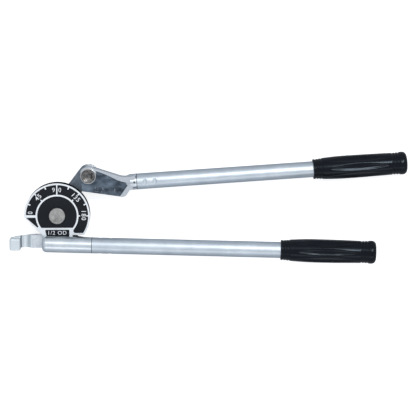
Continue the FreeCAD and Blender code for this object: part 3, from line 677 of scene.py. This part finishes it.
# Outer radii are given at parts of the grip's length, rings by the mouth in millimetres from it, and rings
# by the end as parts of the length.
GRIP_RADII = [(0.0, 11.9), (0.1, 12.75), (0.2, 13.4), (0.32, 13.95), (0.44, 14.2), (0.56, 14.05),
              (0.68, 13.6), (0.8, 13.25), (0.88, 13.25), (0.93, 13.6), (0.965, 13.75)]
MOUTH_RINGS = (3.4, 6.6, 9.8)
END_RINGS = (0.85, 0.88, 0.91)
RING_WIDTH = 0.9
RING_DEPTH = 0.8
FLUTES = 8
FLUTE_DEPTH = 1.7
FLUTE_START = 0.17
FLUTE_LENGTH = 0.64
TUBE_RADIUS = 9.55
BORE_DEPTH = 9.0
END_ROUND = 5.0
GRIP_AROUND = 144
GRIP_STEPS = 190


def smooth_between(stops, place):
    """A smooth curve through stops of (place, value)."""
    last = len(stops) - 1
    index = max(0, min(last - 1, sum(1 for stop in stops if stop[0] <= place) - 1))
    before = stops[max(0, index - 1)][1]
    start = stops[index][1]
    end = stops[index + 1][1]
    after = stops[min(last, index + 2)][1]
    part = (place - stops[index][0]) / (stops[index + 1][0] - stops[index][0])
    part = max(0.0, min(1.0, part))
    return 0.5 * (2 * start + (end - before) * part + (2 * before - 5 * start + 4 * end - after) * part ** 2
                  + (3 * start - before - 3 * end + after) * part ** 3)


def ring_groove(distance):
    return RING_DEPTH * math.exp(-(distance / RING_WIDTH) ** 2)


def grip_radius(x, length, angle):
    """The outside of a grip at a distance from its mouth and an angle round its axis."""
    part = x / length
    radius = smooth_between(GRIP_RADII, part)
    for place in MOUTH_RINGS:
        radius -= ring_groove(x - place)
    for place in END_RINGS:
        radius -= ring_groove(x - place * length)
    window = (part - FLUTE_START) / FLUTE_LENGTH
    if 0 < window < 1:
        swell = math.sin(math.pi * window)
        sector = 2 * math.pi / FLUTES
        offset = (angle + sector / 2) % sector - sector / 2
        reach = sector * (0.05 + 0.42 * swell)
        if abs(offset) < reach:
            radius -= FLUTE_DEPTH * swell ** 0.7 * math.cos(math.pi / 2 * offset / reach) ** 1.3
    return radius


def grip(name, node, body, length, turn):
    """A closed sleeve: the bore, the lip at its mouth, the outside with rings and flutes, and a round end.

    Each station is a distance from the mouth and a radius, or None where grip_radius gives it.
    """
    first_station = 0.5
    end_gap = 0.02
    outside = []
    for index in range(GRIP_STEPS + 1):
        x = first_station + (length - END_ROUND - first_station) * index / GRIP_STEPS
        outside.append((x, None))
    edge = grip_radius(length - END_ROUND, length, 0.2)
    lip = [(BORE_DEPTH, TUBE_RADIUS), (0.35, TUBE_RADIUS), (0.05, TUBE_RADIUS + 0.3)]
    lip += [(0.05, 11.2), (0.2, 11.6)]
    cap = []
    for degrees in range(12, 91, 13):
        sine, cosine = math.sin(math.radians(degrees)), math.cos(math.radians(degrees))
        cap.append((length - END_ROUND + END_ROUND * sine - end_gap, edge - END_ROUND * (1 - cosine)))
    cap += [(length - end_gap, edge * 0.5), (length - end_gap, 1.0)]
    work = bmesh.new()
    rings = []
    for x, fixed in lip + outside + cap:
        ring = []
        for index in range(GRIP_AROUND):
            angle = 2 * math.pi * index / GRIP_AROUND
            radius = grip_radius(x, length, angle) if fixed is None else fixed
            ring.append(work.verts.new((x, radius * math.cos(angle), radius * math.sin(angle))))
        rings.append(ring)
    for first, second in zip(rings, rings[1:]):
        for index in range(GRIP_AROUND):
            following = (index + 1) % GRIP_AROUND
            work.faces.new((first[index], first[following], second[following], second[index]))
    work.faces.new(rings[-1])
    work.faces.new(list(reversed(rings[0])))
    bmesh.ops.recalc_face_normals(work, faces=work.faces[:])
    mesh = bpy.data.meshes.new(name)
    work.to_mesh(mesh)
    work.free()
    piece = add_piece(name, mesh, body, MATERIALS["vinyl"], turn, 50)
    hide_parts(node)


# ---------------------------------------------------------------- floor, light and camera

CAMERA_AZIMUTH = 0.0
CAMERA_ELEVATION = 84.39
CAMERA_ROLL = -0.47
CAMERA_DISTANCE = 2.0
CAMERA_LENS = 145.6
CAMERA_AIM = (-0.0009, 0.0002, 0.03)


def floor():
    """A white bench top, which the tool's gloss doesn't mirror."""
    mesh = bpy.data.meshes.new("floor")
    half = 6.0
    corners = [(-half, -half, 0), (half, -half, 0), (half, half, 0), (-half, half, 0)]
    mesh.from_pydata(corners, [], [(0, 1, 2, 3)])
    plane = bpy.data.objects.new("floor", mesh)
    bpy.context.scene.collection.objects.link(plane)
    material, _, shader = new_material("floor_white")
    shader.inputs["Base Color"].default_value = (0.5, 0.5, 0.5, 1)
    shader.inputs["Roughness"].default_value = 0.9
    shader.inputs["Specular IOR Level"].default_value = 0.0
    shader.inputs["Emission Color"].default_value = (1, 1, 1, 1)
    shader.inputs["Emission Strength"].default_value = 0.8
    mesh.materials.append(material)
    plane.visible_glossy = False


def area_light(name, place, aim, size, radiance):
    """A soft rectangular light whose face has a given radiance."""
    light = bpy.data.lights.new(name, "AREA")
    light.shape = "RECTANGLE"
    light.size = size[0]
    light.size_y = size[1]
    light.energy = radiance * math.pi * size[0] * size[1]
    holder = bpy.data.objects.new(name, light)
    holder.location = place
    holder.rotation_euler = (Vector(aim) - Vector(place)).to_track_quat("-Z", "Y").to_euler()
    bpy.context.scene.collection.objects.link(holder)


SKY_BELOW = (0.36, 0.39, 0.43, 1)
SKY_HORIZON = (0.50, 0.54, 0.59, 1)
SKY_ABOVE = (0.62, 0.65, 0.69, 1)


def lights():
    """A pale sky, two long lights for the tubes' highlights, one for the grips, and a low fill."""
    world = bpy.data.worlds.new("studio")
    bpy.context.scene.world = world
    world.use_nodes = True
    tree = world.node_tree
    tree.nodes.clear()
    output = tree.nodes.new("ShaderNodeOutputWorld")
    background = tree.nodes.new("ShaderNodeBackground")
    coordinates = tree.nodes.new("ShaderNodeTexCoord")
    split = tree.nodes.new("ShaderNodeSeparateXYZ")
    ramp = tree.nodes.new("ShaderNodeValToRGB")
    tree.links.new(coordinates.outputs["Generated"], split.inputs["Vector"])
    tree.links.new(remap(tree, split.outputs["Z"], -1, 1, 0, 1), ramp.inputs["Fac"])
    ramp.color_ramp.elements[0].position = 0.0
    ramp.color_ramp.elements[0].color = SKY_BELOW
    ramp.color_ramp.elements[1].position = 1.0
    ramp.color_ramp.elements[1].color = SKY_ABOVE
    horizon = ramp.color_ramp.elements.new(0.5)
    horizon.color = SKY_HORIZON
    tree.links.new(ramp.outputs["Color"], background.inputs["Color"])
    background.inputs["Strength"].default_value = 1.0
    tree.links.new(background.outputs["Background"], output.inputs["Surface"])
    area_light("strip", (0, 0.50, 1.7), (0, 0, 0), (2.4, 0.07), 2.6)
    area_light("halo", (0, 0.56, 1.75), (0, 0, 0), (2.4, 0.8), 0.55)
    area_light("grip_light", (0.56, 0.42, 1.7), (0.2, 0, 0), (0.28, 0.8), 13.0)
    area_light("low_fill", (0, -1.5, 1.0), (0, 0, 0), (2.4, 0.5), 1.2)


def camera():
    """A long lens almost straight above the tool."""
    azimuth = math.radians(CAMERA_AZIMUTH)
    elevation = math.radians(CAMERA_ELEVATION)
    toward = Vector((math.sin(azimuth) * math.cos(elevation), -math.cos(azimuth) * math.cos(elevation),
                     math.sin(elevation)))
    data = bpy.data.cameras.new("camera")
    data.sensor_width = 36
    data.lens = CAMERA_LENS
    data.clip_end = 20
    holder = bpy.data.objects.new("camera", data)
    turn = (-toward).to_track_quat("-Z", "Y").to_matrix()
    turn = turn @ Matrix.Rotation(math.radians(CAMERA_ROLL), 3, "Z")
    holder.matrix_world = Matrix.Translation(Vector(CAMERA_AIM) + toward * CAMERA_DISTANCE) @ turn.to_4x4()
    bpy.context.scene.collection.objects.link(holder)
    bpy.context.scene.camera = holder


camera()
lights()
floor()
dress_nodes()
dial_marks()
dial_numbers()
shoe_marks()
grip("fixed_grip_fluted", "fixed_handle_grip", "frame", FIXED_LENGTH, FIXED_AXIS)
grip("moving_grip_fluted", "moving_handle_grip", "lever", MOVING_LENGTH, MOVING_AXIS)
bpy.context.scene.view_settings.view_transform = "Standard"
